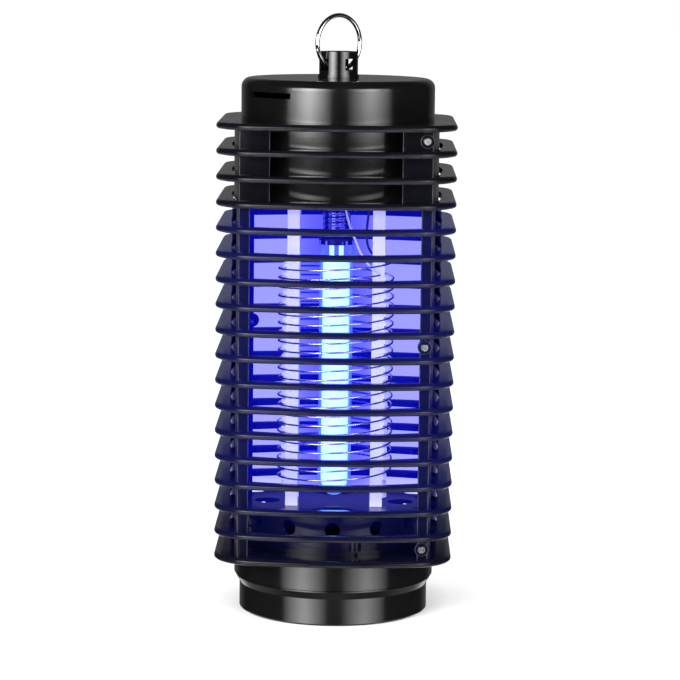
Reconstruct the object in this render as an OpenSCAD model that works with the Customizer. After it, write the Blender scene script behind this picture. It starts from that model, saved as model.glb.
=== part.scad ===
/* [Cage] */
// Half width of the cage wall at the middle of its left and right sides
wall_half = 48.2; // [48:0.1:48.4]
// Half depth of the cage wall, whose front and back are flat
wall_depth = 44.6; // [44.5:0.1:44.8]
// Radius that the wall's left and right sides follow
wall_bow_r = 198; // [190:1:210]
// Thickness of the cage wall
wall_t = 2.2; // [2:0.1:2.4]
// Half width of the open windows
window_half = 38.2; // [38:0.1:38.4]
// Half width of the windows at the back
back_window_half = 39.8; // [39.6:0.1:40]
// Half width of the narrower openings in front of the lamp housing
upper_window_half = 29.4; // [27:0.1:32]

/* [Louvres] */
// Half width of a louvre, whose left and right edges are straight
louvre_half = 54; // [53.5:0.5:55]
// Half depth of a louvre at the middle of its front
louvre_depth = 55; // [54:0.5:56]
// Radius that a louvre's front and back edges follow
louvre_bow_r = 220; // [210:1:230]
// Corner radius of a louvre
louvre_corner_r = 20; // [18:0.5:22]
// Width of a louvre's slat at the middle of a front window
slat_w = 4; // [4:0.5:6]
// Thickness of a louvre
louvre_t = 3; // [2.6:0.1:3.4]
// Height from one louvre to the next
louvre_pitch = 11.5; // [11.3:0.1:11.6]
// Number of louvres, with the top and bottom plates
louvre_count = 18; // [18:1:18]
// Height of the underside of the bottom plate
louvre_first_z = 29.2; // [29:0.1:29.5]
// Number of bays in front of the lamp housing
upper_bays = 3; // [3:1:3]

/* [Cap and lamp housing] */
// Outer radius of the cap and the lamp housing
cap_r = 44.3; // [44:0.1:44.6]
// Height of the cap above the top plate
cap_h = 18.6; // [18:0.1:19]
// Radius of the cap's rounded top edge
cap_edge_r = 4.2; // [3:0.1:5]
// Wall thickness of the cap and the lamp housing
case_t = 2; // [1.8:0.1:2.2]

/* [Hanger] */
// Outer radius of the hollow hanger post
post_r = 8.9; // [8.7:0.1:9.1]
// Height of the hanger post above the cap
post_h = 12; // [11.5:0.1:13]
// Centre line radius of the hanging ring
ring_r = 12.5; // [12.3:0.1:12.7]
// Wire radius of the hanging ring
ring_wire_r = 1; // [0.9:0.05:1]
// Turn of the ring's plane about the vertical
ring_turn = 40; // [30:1:50]

/* [Base and tray] */
// Outer radius of the base collar
collar_r = 46.2; // [46:0.1:46.4]
// Height of the seam between the collar and the tray
seam_z = 16.8; // [16.6:0.1:17]
// Outer radius of the tray
tray_r = 43.7; // [43.6:0.1:43.9]
// Angle that the tray turns to unlock
tray_twist = 36; // [34:1:38]

/* [Lamp and grid] */
// Outer radius of the lamp's clear glass
glass_r = 7.75; // [7.5:0.05:8]
// Radius of the glowing inner tube
tube_r = 6.25; // [6:0.05:6.4]
// Radius of the grid winding at the middle of its wire
grid_r = 26.4; // [26.3:0.1:26.6]
// Radius of the grid wire
grid_wire_r = 0.45; // [0.4:0.05:0.5]
// Height from one turn of a grid wire to its next turn
grid_pitch = 8.4; // [8:0.1:9]
// Turns of each grid wire
grid_turns = 11.5; // [11:0.5:12]

/* [Hidden] */
$fn = 96;
eps = 0.01;
gap = 0.1;

// Levels, from the surface that the zapper stands on
plate_top_z = louvre_first_z + louvre_t;
top_plate_z = louvre_first_z + (louvre_count - 1) * louvre_pitch;
cap_z = top_plate_z + louvre_t;
cap_top_z = cap_z + cap_h;
housing_z = top_plate_z - upper_bays * louvre_pitch;
housing_floor_t = 2.5;
upper_window_z = housing_z + louvre_t;
post_top_z = cap_top_z + post_h;

// Hanger: the ring swings about the chord between two windows of the post
post_bore_r = 7;
chord_half = (post_r + post_bore_r) / 2;
hinge_z = cap_top_z + 6.2;
ring_rise = sqrt(ring_r * ring_r - chord_half * chord_half);
window_w = 6;
window_h = 5.2;
post_floor_z = hinge_z + ring_rise - ring_r - ring_wire_r - 0.7;
spigot_r = 6;

// Screws of the cage's two halves, behind the front right and back left corners
shell_screw_x = 40.4;
shell_screw_bays = [0, 8, 16];
boss_r = 3.2;
boss_front_y = 45.4;
boss_split_y = 42.4;
boss_end_y = 36;
screw_r = 0.95;
pilot_r = 1;
clear_r = 1.3;

// Cap screws, in wells of the lamp housing
cap_screw_ring_r = 35.5;
cap_screw_angles = [30, 150, 270];
well_r = 3;
well_wall = 1.2;
well_top_z = top_plate_z - 7;

// Circuit board inside the lamp housing
board_z = housing_z + 21;
board_t = 1.6;
board_r = 30.5;
board_hole_r = 15;
standoff_ring_r = 26;
standoff_angles = [90, 210, 330];
standoff_r = 2.6;

// Vent slot and cord inlet of the cap
slot_angle = 225;
slot_spread = 34;
slot_h = 2.6;
slot_z = cap_top_z - 8.2;
inlet_z = cap_z + 8.5;
inlet_r = 4.4;
cord_r = 3;

// Lamp socket and screw thread
thread_pitch = 2.54;
thread_depth = 0.2;
cap_thread_r = 5.75;
sleeve_gap = 0.2;
sleeve_t = 0.35;
sleeve_z = 176.8;
sleeve_top_z = 200;
holder_r = 9;
holder_bore_r = 6.75;
holder_z = housing_z - 5;
holder_top_z = 204;
lamp_cap_z = 176.6;
lamp_cap_top_z = 196.4;
flare_z = 171.9;
flare_r = 8.3;
lamp_ring_z = 170;
glass_bottom_z = 52.5;
glass_t = 0.8;
tube_top_z = 163.4;
leg_r = 1.1;
leg_x = 2.2;

// Grid: four posts inside the winding, with teeth that space the wires
grid_top_z = 157.6;
live_top_angle = -40;
return_top_angle = -5;
grid_sides = 5;
grid_steps = 24;
grid_post_x = 19.5;
grid_post_y = 11;
grid_post_w = 5.6;
grid_post_d = 3.6;
tooth_w = 3;
tooth_h = 1.8;
tooth_r = 27.1;
peg_r = 1.5;
peg_l = 1.8;
peg_gap = 0.1;

// Grid base: a perforated disc on a skirt with round side holes
base_disc_top_z = 49.5;
base_disc_t = 2;
base_disc_r = 40;
base_flange_r = 42;
skirt_t = 2;
side_hole_r = 3.5;
side_hole_z = 43.6;
drop_hole_r = 11;
drop_hole_y = 26.5;
side_drop_r = 6;
side_drop_x = 31;
base_screw_ring_r = 39;
base_screw_angles = [15, 105, 195, 285];
base_hole_r = 34;

// Base collar and tray
collar_t = 2;
collar_flange_t = 2;
ledge_z = seam_z + 1.4;
ledge_t = 1.8;
ledge_r = 41;
hook_spread = 24;
hook_gap_spread = 36;
hook_r = 43.6;
hook_t = 2;
tongue_r = 40.6;
tongue_t = 2;
tray_rim_r = 45.6;
tray_gap = 0.4;
tray_t = 2;
rim_t = 2.2;
flare_h = 4;

// ---- Outlines ----

// The cage wall's outline, set in by some way: flat at the front and back, bowed at the left and right
module wall_outline(inset) {
    intersection() {
        square([4 * wall_half, 2 * (wall_depth - inset)], center = true);
        translate([wall_half - wall_bow_r, 0]) circle(r = wall_bow_r - inset, $fn = 360);
        translate([wall_bow_r - wall_half, 0]) circle(r = wall_bow_r - inset, $fn = 360);
    }
}

// A louvre's outline: straight at the left and right, bowed at the front and back, with round corners
module louvre_outline() {
    arc_y = louvre_bow_r - louvre_depth;
    corner_x = louvre_half - louvre_corner_r;
    rise = sqrt(pow(louvre_bow_r - louvre_corner_r, 2) - corner_x * corner_x);
    corner_y = rise - arc_y;
    reach = 3 * louvre_corner_r;
    along = [corner_x, rise] * reach / (louvre_bow_r - louvre_corner_r);
    difference() {
        intersection() {
            square([2 * louvre_half, 4 * louvre_half], center = true);
            translate([0, arc_y]) circle(r = louvre_bow_r, $fn = 360);
            translate([0, -arc_y]) circle(r = louvre_bow_r, $fn = 360);
        }
        for (sx = [-1, 1], sy = [-1, 1])
            polygon([
                [sx * corner_x, sy * corner_y],
                [sx * (corner_x + reach), sy * corner_y],
                [sx * (corner_x + reach), sy * (corner_y + reach)],
                [sx * (corner_x + along[0]), sy * (corner_y + along[1])]
            ]);
    }
    for (sx = [-1, 1], sy = [-1, 1])
        translate([sx * corner_x, sy * corner_y]) circle(r = louvre_corner_r);
}

// What the louvres leave open in front of the wall's windows, with a bowed edge that meets the posts
module slat_opening() {
    bulge = louvre_depth - slat_w - wall_depth;
    arc_r = (window_half * window_half + bulge * bulge) / (2 * bulge);
    intersection() {
        square([2 * window_half, 4 * louvre_depth], center = true);
        translate([0, wall_depth + bulge - arc_r]) circle(r = arc_r, $fn = 180);
        translate([0, arc_r - bulge - wall_depth]) circle(r = arc_r, $fn = 180);
    }
}

// The half plane of the front and left sides, mitred at two corners
module front_left_half() {
    rotate(-45) translate([-150, -300 - gap / 2]) square([300, 300]);
}

// ---- Small helpers ----

module tube(r_out, r_in, h) {
    difference() {
        cylinder(r = r_out, h = h);
        translate([0, 0, -1]) cylinder(r = r_in, h = h + 2);
    }
}

// A ring sector of a given angle, centred on the X axis
module sector(r_out, r_in, h, spread) {
    far = r_out * 1.5;
    intersection() {
        tube(r_out, r_in, h);
        linear_extrude(h) polygon([
            [0, 0],
            [far * cos(spread / 2), -far * sin(spread / 2)],
            [far, 0],
            [far * cos(spread / 2), far * sin(spread / 2)]
        ]);
    }
}

// A pan head screw that points along +Z, with its head below Z = 0
module screw(shank_r, length, head_r, head_h) {
    cylinder(r = shank_r, h = length, $fn = 32);
    difference() {
        translate([0, 0, -head_h]) cylinder(r1 = head_r * 0.78, r2 = head_r, h = head_h, $fn = 48);
        for (a = [0, 90])
            rotate(a) translate([-head_r * 0.5, -0.25, -head_h - eps]) cube([head_r, 0.5, 0.6]);
    }
}

function unit(v) = v / norm(v);

// Direction of a path at one of its points
function heading(path, i) =
    unit(path[min(i + 1, len(path) - 1)] - path[max(i - 1, 0)]);

// One round cross section of a wire
function wire_ring(path, i, r, sides, side_ref) =
    let (t = heading(path, i), n = unit(cross(t, side_ref)), m = cross(t, n))
    [for (k = [0:sides - 1]) path[i] + r * (cos(360 * k / sides) * n + sin(360 * k / sides) * m)];

// A wire of radius r along a path
module wire(path, r, sides, side_ref) {
    rings = len(path);
    points = [for (i = [0:rings - 1]) each wire_ring(path, i, r, sides, side_ref)];
    walls = [for (i = [0:rings - 2], k = [0:sides - 1])
        let (n = (k + 1) % sides)
        [i * sides + k, i * sides + n, (i + 1) * sides + n, (i + 1) * sides + k]];
    first = [for (k = [sides - 1:-1:0]) k];
    last = [for (k = [0:sides - 1]) (rings - 1) * sides + k];
    polyhedron(points, concat(walls, [first, last]));
}

// ---- Cap and hanger ----

module cap_profile() {
    difference() {
        union() {
            square([cap_r - cap_edge_r, cap_h]);
            square([cap_r, cap_h - cap_edge_r]);
            translate([cap_r - cap_edge_r, cap_h - cap_edge_r]) circle(r = cap_edge_r);
        }
        translate([-cap_r, -cap_r]) square([cap_r, 2 * cap_r + cap_h]);
        translate([-eps, -eps]) square([cap_r - cap_edge_r, cap_h - case_t + eps]);
        translate([-eps, -eps]) square([cap_r - case_t + eps, cap_h - cap_edge_r + eps]);
        translate([cap_r - cap_edge_r, cap_h - cap_edge_r]) circle(r = cap_edge_r - case_t);
    }
}

module cap_bosses() {
    boss_z = top_plate_z + gap;
    for (a = cap_screw_angles)
        rotate(a) translate([cap_screw_ring_r, 0, boss_z])
            tube(well_r + well_wall, pilot_r, cap_top_z - 1 - boss_z);
}

module top_cap() color([0.05, 0.05, 0.055]) {
    difference() {
        union() {
            translate([0, 0, cap_z]) rotate_extrude($fn = 180) cap_profile();
            intersection() {
                cap_bosses();
                translate([0, 0, top_plate_z]) cylinder(r = cap_r - 1, h = cap_h + louvre_t - 1);
            }
        }
        translate([0, 0, cap_top_z - case_t - 1]) cylinder(r = spigot_r + gap, h = case_t + 2);
        rotate(slot_angle) translate([0, 0, slot_z])
            sector(cap_r + 2, cap_r - 4, slot_h, slot_spread);
        translate([0, cap_r + 2, inlet_z]) rotate([90, 0, 0]) cylinder(r = inlet_r, h = 8);
    }
}

// A hollow post on a spigot. The ring runs through two of its three windows
module hanger_post() color([0.05, 0.05, 0.055]) {
    base_z = cap_top_z + gap / 2;
    difference() {
        union() {
            translate([0, 0, base_z]) cylinder(r = post_r, h = post_top_z - base_z);
            translate([0, 0, base_z]) cylinder(r = post_r + 0.5, h = 1.5);
            translate([0, 0, cap_top_z - case_t - 1.5]) cylinder(r = spigot_r, h = 5);
        }
        translate([0, 0, post_floor_z]) cylinder(r = post_bore_r, h = 40);
        rotate(ring_turn) translate([-post_r - 2, -window_w / 2, hinge_z - window_h / 2])
            cube([2 * post_r + 4, window_w, window_h]);
        rotate(ring_turn - 90) translate([0, -window_w / 2, hinge_z - window_h / 2])
            cube([post_r + 2, window_w, window_h]);
    }
}

module hanging_ring() color([0.78, 0.79, 0.8])
    translate([0, 0, hinge_z + ring_rise]) rotate([90, 0, ring_turn])
        rotate_extrude($fn = 120) translate([ring_r, 0]) circle(r = ring_wire_r, $fn = 32);

module cord_grommet() color([0.04, 0.04, 0.04])
    translate([0, cap_r - 3.2, inlet_z]) rotate([-90, 0, 0]) {
        difference() {
            union() {
                cylinder(r = inlet_r - gap, h = 6.4);
                translate([0, 0, 3.4]) cylinder(r = inlet_r + 1.2, h = 1.6);
                cylinder(r = inlet_r + 1, h = 0.7);
            }
            translate([0, 0, -1]) cylinder(r = cord_r, h = 9);
        }
    }

// ---- Lamp housing and its electronics ----

module lamp_housing() color([0.05, 0.05, 0.055]) {
    well_r_out = well_r + well_wall;
    difference() {
        union() {
            difference() {
                translate([0, 0, housing_z])
                    cylinder(r = cap_r, h = top_plate_z - gap - housing_z, $fn = 180);
                translate([0, 0, housing_z + housing_floor_t])
                    cylinder(r = cap_r - case_t, h = 60, $fn = 180);
            }
            for (a = cap_screw_angles)
                rotate(a) translate([cap_screw_ring_r, 0, housing_z])
                    cylinder(r = well_r_out, h = top_plate_z - gap - housing_z);
            for (a = standoff_angles)
                rotate(a) translate([standoff_ring_r, 0, housing_z])
                    cylinder(r = standoff_r, h = board_z - gap - housing_z);
        }
        for (a = cap_screw_angles)
            rotate(a) translate([cap_screw_ring_r, 0, housing_z - 1]) {
                cylinder(r = well_r, h = well_top_z - housing_z + 1);
                cylinder(r = clear_r, h = 60);
            }
        for (a = standoff_angles)
            rotate(a) translate([standoff_ring_r, 0, board_z - 8]) cylinder(r = pilot_r, h = 20);
        translate([0, 0, housing_z - 1]) cylinder(r = holder_r + gap, h = 6);
        for (x = [-1, 1], y = [-1, 1])
            translate([x * grid_post_x, y * grid_post_y, housing_z - 1])
                cylinder(r = peg_r + peg_gap, h = 6, $fn = 32);
        for (p = [live_pass, return_pass])
            translate([p[0], p[1], housing_z - 1]) cylinder(r = lead_r + 0.45, h = 6, $fn = 32);
    }
}

module cap_screws() color([0.7, 0.7, 0.72])
    for (a = cap_screw_angles)
        rotate(a) translate([cap_screw_ring_r, 0, well_top_z]) screw(screw_r, 13, 2.6, 1.8);

module circuit_board() color([0.2, 0.35, 0.18])
    translate([0, 0, board_z]) difference() {
        cylinder(r = board_r, h = board_t);
        translate([0, 0, -1]) cylinder(r = board_hole_r, h = board_t + 2);
        for (a = standoff_angles)
            rotate(a) translate([standoff_ring_r, 0, -1]) cylinder(r = clear_r, h = board_t + 2);
    }

module capacitors() color([0.6, 0.15, 0.1])
    for (a = [0, 62, 180, 242])
        rotate(a) translate([19.5, -6.5, board_z + board_t + gap]) {
            cube([6, 13, 11]);
        }

module diodes() color([0.08, 0.08, 0.08])
    for (a = [138, 147, 156, 296])
        rotate(a) translate([20, 0, board_z + board_t + 1.5]) rotate([0, 90, 0]) cylinder(r = 1.3, h = 5);

module resistors() color([0.75, 0.65, 0.45])
    for (a = [308, 322, 30])
        rotate(a) translate([18, 0, board_z + board_t + 1.8]) rotate([0, 90, 0]) cylinder(r = 1.6, h = 8);

module terminal_block() color([0.85, 0.85, 0.82])
    translate([-15, 18.5, board_z + board_t + gap]) difference() {
        cube([12, 8, 9]);
        for (x = [3, 9]) translate([x, 4, 3]) cylinder(r = 1.6, h = 9);
    }

module board_screws() color([0.7, 0.7, 0.72])
    for (a = standoff_angles)
        rotate(a) translate([standoff_ring_r, 0, board_z + board_t]) rotate([180, 0, 0])
            screw(screw_r, 8, 2.2, 1.4);

// ---- Lamp holder and lamp ----

// Radius of a rolled screw thread at a height
function thread_r(r, z) = r + thread_depth * cos(360 * (z - sleeve_z) / thread_pitch);
function thread_line(r, z_low, z_high) =
    let (steps = round((z_high - z_low) / thread_pitch * 8))
    [for (i = [0:steps]) let (z = z_low + (z_high - z_low) * i / steps) [thread_r(r, z), z]];
function reversed(list) = [for (i = [len(list) - 1:-1:0]) list[i]];

module lamp_holder() color([0.06, 0.06, 0.06]) difference() {
    union() {
        translate([0, 0, holder_z]) cylinder(r = holder_r, h = holder_top_z - holder_z);
        translate([0, 0, housing_z + housing_floor_t + gap / 2]) cylinder(r = 13, h = 2);
    }
    translate([0, 0, holder_z - 1]) cylinder(r = holder_bore_r, h = holder_top_z - 2 - holder_z + 1);
}

module holder_sleeve() color([0.55, 0.55, 0.58]) {
    r_in = cap_thread_r + sleeve_gap;
    rotate_extrude() polygon(concat(
        thread_line(r_in, sleeve_z, sleeve_top_z),
        reversed(thread_line(r_in + sleeve_t, sleeve_z, sleeve_top_z))
    ));
    translate([0, 0, sleeve_top_z - eps]) tube(holder_bore_r - gap / 2, 3, 0.6);
}

module holder_contact() color([0.8, 0.65, 0.3]) {
    translate([0, 0, 199.4]) cylinder(r = 2, h = 1.4);
    translate([0, 0, 200.7]) cylinder(r = 1.4, h = 0.9);
}

module lamp_base() color([0.7, 0.7, 0.72])
    rotate_extrude() polygon(concat(
        [[0, lamp_cap_z]],
        thread_line(cap_thread_r, lamp_cap_z, lamp_cap_top_z),
        [[3.2, lamp_cap_top_z + 0.9], [0, lamp_cap_top_z + 0.9]]
    ));

module lamp_contact() color([0.8, 0.65, 0.3])
    translate([0, 0, lamp_cap_top_z + 0.9]) cylinder(r1 = 2.2, r2 = 1.2, h = 1.7);

module lamp_collar() color([0.03, 0.03, 0.035])
    rotate_extrude() polygon([
        [0, flare_z], [flare_r, flare_z], [flare_r, flare_z + 0.9],
        [flare_r - 1.2, flare_z + 2.4], [cap_thread_r + 0.5, lamp_cap_z - 0.6],
        [cap_thread_r + 0.3, lamp_cap_z], [0, lamp_cap_z]
    ]);

module lamp_band() color([0.75, 0.76, 0.78])
    translate([0, 0, lamp_ring_z]) tube(glass_r + 0.25, glass_r - 1.2, flare_z - lamp_ring_z);

module lamp_glass() color([0.75, 0.85, 0.95, 0.4])
    rotate_extrude() difference() {
        union() {
            translate([0, glass_bottom_z + glass_r])
                square([glass_r, lamp_ring_z - glass_bottom_z - glass_r]);
            translate([0, glass_bottom_z + glass_r]) circle(r = glass_r);
        }
        translate([-glass_r * 2, 0]) square([glass_r * 2, 300]);
        translate([-eps, glass_bottom_z + glass_r]) square([glass_r - glass_t + eps, 200]);
        translate([0, glass_bottom_z + glass_r]) circle(r = glass_r - glass_t);
    }

module lamp_tube() color([0.75, 0.95, 1])
    rotate_extrude() difference() {
        union() {
            translate([0, glass_bottom_z + glass_r])
                square([tube_r, tube_top_z - 2 - glass_bottom_z - glass_r]);
            translate([0, glass_bottom_z + glass_r]) circle(r = tube_r);
            translate([0, tube_top_z - 2 - eps]) square([tube_r - 2, 2 + eps]);
            translate([tube_r - 2, tube_top_z - 2]) circle(r = 2);
        }
        translate([-glass_r * 2, 0]) square([glass_r * 2, 300]);
    }

module lamp_legs() color([0.9, 0.97, 1])
    for (x = [-leg_x, leg_x])
        translate([x, 0, tube_top_z]) cylinder(r = leg_r, h = flare_z - tube_top_z);

// ---- High voltage grid ----

// Height at which the topmost turn of the live wire passes an angle
function crossing_z(angle) =
    let (turn = (live_top_angle - angle) / 360)
    grid_top_z - grid_pitch * (turn - floor(turn));

// The post's foot stands on the grid base and its top meets the lamp housing
module grid_post(sx, sy) color([0.93, 0.93, 0.92]) {
    angle = atan2(sy * grid_post_y, sx * grid_post_x);
    spacing = grid_pitch / 2;
    first = crossing_z(angle) + 1.5 * spacing - tooth_h / 2;
    centre = [sx * grid_post_x, sy * grid_post_y, 0];
    translate(centre + [-grid_post_w / 2, -grid_post_d / 2, base_disc_top_z])
        cube([grid_post_w, grid_post_d, housing_z - base_disc_top_z]);
    for (i = [0:2 * grid_turns + 1])
        rotate(angle) translate([grid_r - 3.4, -tooth_w / 2, first - i * spacing])
            cube([tooth_r - grid_r + 3.4, tooth_w, tooth_h]);
    translate(centre + [0, 0, base_disc_top_z - peg_l])
        cylinder(r = peg_r, h = housing_z - base_disc_top_z + 2 * peg_l, $fn = 32);
}

module grid_post_front_left() grid_post(-1, -1);
module grid_post_front_right() grid_post(1, -1);
module grid_post_back_left() grid_post(-1, 1);
module grid_post_back_right() grid_post(1, 1);

// Both wires climb alike, and the return wire runs midway between the live wire's turns
function coil_path(top_angle, lift) =
    let (steps = round(grid_steps * grid_turns), turn_z = grid_top_z - grid_pitch * live_top_angle / 360)
    [for (i = [0:steps]) let (a = top_angle - 360 * i / grid_steps)
        [grid_r * cos(a), grid_r * sin(a), turn_z + lift + grid_pitch * a / 360]];

live_coil = coil_path(live_top_angle, 0);
return_coil = coil_path(return_top_angle, grid_pitch / 2);

module grid_wire_live() color([0.75, 0.76, 0.78])
    wire(live_coil, grid_wire_r, grid_sides, [0, 0, 1]);
module grid_wire_return() color([0.75, 0.76, 0.78])
    wire(return_coil, grid_wire_r, grid_sides, [0, 0, 1]);

// Leads from the circuit board down to the upper ends of the two wires, each straight down through the
// housing's floor where it passes it
lead_r = 0.55;
lead_sides = 8;
live_pass = [4.2, -15];
return_pass = [15.2, -8];
pass_top_z = 196;
pass_low_z = 188;
live_route = [
    [4.6, -18, board_z - gap], [4.4, -16.4, 203], [live_pass[0], live_pass[1], pass_top_z],
    [live_pass[0], live_pass[1], 192], [live_pass[0], live_pass[1], pass_low_z], [5.5, -14.5, 182],
    [7.6, -14.4, 176], [9.6, -14.6, 171], [11.8, -15, 166.5], [14.5, -15.6, 162.6], [17.3, -16.4, 159.6]
];
return_route = [
    [15.6, -10, board_z - gap], [15.4, -8.8, 203], [return_pass[0], return_pass[1], pass_top_z],
    [return_pass[0], return_pass[1], 192], [return_pass[0], return_pass[1], pass_low_z], [14.4, -7.8, 183],
    [13.9, -7.4, 177], [14.2, -6.8, 171], [15.9, -6, 167], [18.7, -5, 164.6], [21.9, -4, 163.6]
];

module live_lead() color([0.85, 0.86, 0.9])
    wire(concat(live_route, [live_coil[0]]), lead_r, lead_sides, [0, 1, 0]);
module return_lead() color([0.05, 0.05, 0.08])
    wire(concat(return_route, [return_coil[0]]), lead_r, lead_sides, [0, 1, 0]);

module grid_base() color([0.04, 0.04, 0.06]) difference() {
    union() {
        difference() {
            translate([0, 0, plate_top_z]) cylinder(r = base_disc_r, h = base_disc_top_z - plate_top_z);
            translate([0, 0, plate_top_z - 1])
                cylinder(r = base_disc_r - skirt_t, h = base_disc_top_z - base_disc_t - plate_top_z + 1);
        }
        translate([0, 0, plate_top_z]) tube(base_flange_r, base_hole_r + 0.5, 2);
        for (a = base_screw_angles)
            rotate(a) translate([base_screw_ring_r, 0, plate_top_z]) cylinder(r = 3, h = 7);
    }
    for (a = [0:30:330])
        rotate(a) translate([base_disc_r - 6, 0, side_hole_z]) rotate([0, 90, 0])
            cylinder(r = side_hole_r, h = 10);
    for (s = [-1, 1]) {
        translate([0, s * drop_hole_y, base_disc_top_z - 8]) cylinder(r = drop_hole_r, h = 20);
        translate([s * side_drop_x, 0, base_disc_top_z - 8]) cylinder(r = side_drop_r, h = 20);
    }
    for (x = [-1, 1], y = [-1, 1])
        translate([x * grid_post_x, y * grid_post_y, 30]) cylinder(r = peg_r + peg_gap, h = 30, $fn = 32);
    for (a = base_screw_angles)
        rotate(a) translate([base_screw_ring_r, 0, plate_top_z - 1]) cylinder(r = pilot_r, h = 6);
}

// ---- Cage ----

module cage_wall(front_window_half) {
    difference() {
        translate([0, 0, plate_top_z - eps]) linear_extrude(top_plate_z - plate_top_z + 2 * eps)
            difference() {
                wall_outline(0);
                wall_outline(wall_t);
            }
        translate([-front_window_half, -80, plate_top_z])
            cube([2 * front_window_half, 80, upper_window_z - plate_top_z]);
        translate([-80, -window_half, plate_top_z])
            cube([80, 2 * window_half, upper_window_z - plate_top_z]);
        for (a = [0, 90])
            rotate(a) translate([-upper_window_half, -80, plate_top_z])
                cube([2 * upper_window_half, 160, top_plate_z - plate_top_z]);
    }
}

module plate(z, hole_r) {
    translate([0, 0, z]) linear_extrude(louvre_t) difference() {
        louvre_outline();
        circle(r = hole_r, $fn = 180);
    }
}

// Height of the middle of a bay, counted from the top
function bay_z(i) = top_plate_z - i * louvre_pitch - (louvre_pitch - louvre_t) / 2;

module shell_half(front_window_half) {
    difference() {
        union() {
            intersection() {
                union() {
                    cage_wall(front_window_half);
                    plate(top_plate_z, cap_r - case_t);
                    plate(louvre_first_z, base_hole_r);
                    for (i = shell_screw_bays)
                        translate([shell_screw_x, -boss_front_y, bay_z(i)]) rotate([-90, 0, 0])
                            cylinder(r = boss_r, h = boss_front_y - boss_split_y - gap, $fn = 48);
                }
                linear_extrude(400) front_left_half();
            }
            intersection() {
                for (i = shell_screw_bays)
                    translate([-shell_screw_x, boss_end_y, bay_z(i)]) rotate([-90, 0, 0])
                        cylinder(r = boss_r, h = boss_split_y - boss_end_y - gap, $fn = 48);
                linear_extrude(400) union() {
                    front_left_half();
                    wall_outline(wall_t + gap);
                }
            }
        }
        for (i = shell_screw_bays) {
            translate([shell_screw_x, -boss_front_y - 1, bay_z(i)]) rotate([-90, 0, 0])
                cylinder(r = clear_r, h = 6, $fn = 32);
            translate([-shell_screw_x, boss_end_y + 1, bay_z(i)]) rotate([-90, 0, 0])
                cylinder(r = pilot_r, h = 8, $fn = 32);
        }
        for (a = base_screw_angles)
            rotate(a) translate([base_screw_ring_r, 0, louvre_first_z - 1])
                cylinder(r = clear_r, h = louvre_t + 2, $fn = 32);
    }
}

module shell_front_left() color([0.04, 0.04, 0.05]) shell_half(window_half);
module shell_back_right() color([0.04, 0.04, 0.05]) rotate(180) shell_half(back_window_half);

module louvre_half_set() {
    for (i = [1:louvre_count - 2])
        translate([0, 0, louvre_first_z + i * louvre_pitch]) linear_extrude(louvre_t)
            intersection() {
                difference() {
                    louvre_outline();
                    wall_outline(0);
                    if (i < louvre_count - 1 - upper_bays) slat_opening();
                }
                front_left_half();
            }
}

module louvres_front_left() color([0.05, 0.05, 0.06]) louvre_half_set();
module louvres_back_right() color([0.05, 0.05, 0.06]) rotate(180) louvre_half_set();

module shell_screws() color([0.8, 0.81, 0.83])
    for (a = [0, 180], i = shell_screw_bays)
        rotate(a) translate([shell_screw_x, -boss_front_y, bay_z(i)]) rotate([-90, 0, 0])
            screw(screw_r, 8, 1.9, 1.4);

// ---- Base ----

module base_collar() color([0.05, 0.05, 0.055]) {
    collar_h = louvre_first_z - gap - seam_z;
    ledge_spread = 120 - hook_gap_spread;
    difference() {
        union() {
            translate([0, 0, seam_z]) tube(collar_r, collar_r - collar_t, collar_h);
            translate([0, 0, louvre_first_z - gap - collar_flange_t])
                tube(collar_r, base_hole_r + 1, collar_flange_t);
            for (a = [0:120:240])
                rotate(a) translate([0, 0, ledge_z]) sector(collar_r - 1, ledge_r, ledge_t, ledge_spread);
        }
        for (a = base_screw_angles)
            rotate(a) translate([base_screw_ring_r, 0, seam_z]) cylinder(r = clear_r, h = 20, $fn = 32);
    }
}

module base_screws() color([0.7, 0.7, 0.72])
    for (a = base_screw_angles)
        rotate(a) translate([base_screw_ring_r, 0, louvre_first_z - gap - collar_flange_t])
            screw(screw_r, 9.5, 2.2, 1.4);

module tray_profile() {
    rim_z = seam_z - tray_gap;
    polygon([
        [0, 0], [tray_r - 0.8, 0], [tray_r, 0.8], [tray_r, rim_z - flare_h], [tray_rim_r, rim_z - 0.6],
        [tray_rim_r, rim_z], [tongue_r - tongue_t, rim_z], [tongue_r - tongue_t, rim_z - rim_t],
        [tray_r - tray_t, rim_z - rim_t - 2], [tray_r - tray_t, tray_t], [0, tray_t]
    ]);
}

// A tongue with an outward hook, which reaches over the collar's ledge
module hook_profile() {
    root_z = seam_z - tray_gap - rim_t / 2;
    hook_z = ledge_z + ledge_t + tray_gap;
    inner_r = tongue_r - tongue_t + 0.2;
    polygon([
        [inner_r, root_z], [tongue_r, root_z], [tongue_r, hook_z],
        [hook_r, hook_z], [hook_r, hook_z + hook_t], [inner_r, hook_z + hook_t]
    ]);
}

module catch_tray() color([0.05, 0.05, 0.055]) {
    rotate_extrude($fn = 180) tray_profile();
    for (a = [0:120:240])
        rotate(a + 60 - tray_twist - hook_spread / 2)
            rotate_extrude(angle = hook_spread) hook_profile();
}

top_cap();
hanger_post();
hanging_ring();
cord_grommet();
lamp_housing();
cap_screws();
circuit_board();
capacitors();
diodes();
resistors();
terminal_block();
board_screws();
lamp_holder();
holder_sleeve();
holder_contact();
lamp_base();
lamp_contact();
lamp_collar();
lamp_band();
lamp_glass();
lamp_tube();
lamp_legs();
grid_post_front_left();
grid_post_front_right();
grid_post_back_left();
grid_post_back_right();
grid_wire_live();
grid_wire_return();
live_lead();
return_lead();
grid_base();
shell_front_left();
shell_back_right();
louvres_front_left();
louvres_back_right();
shell_screws();
base_collar();
base_screws();
catch_tray();
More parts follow.
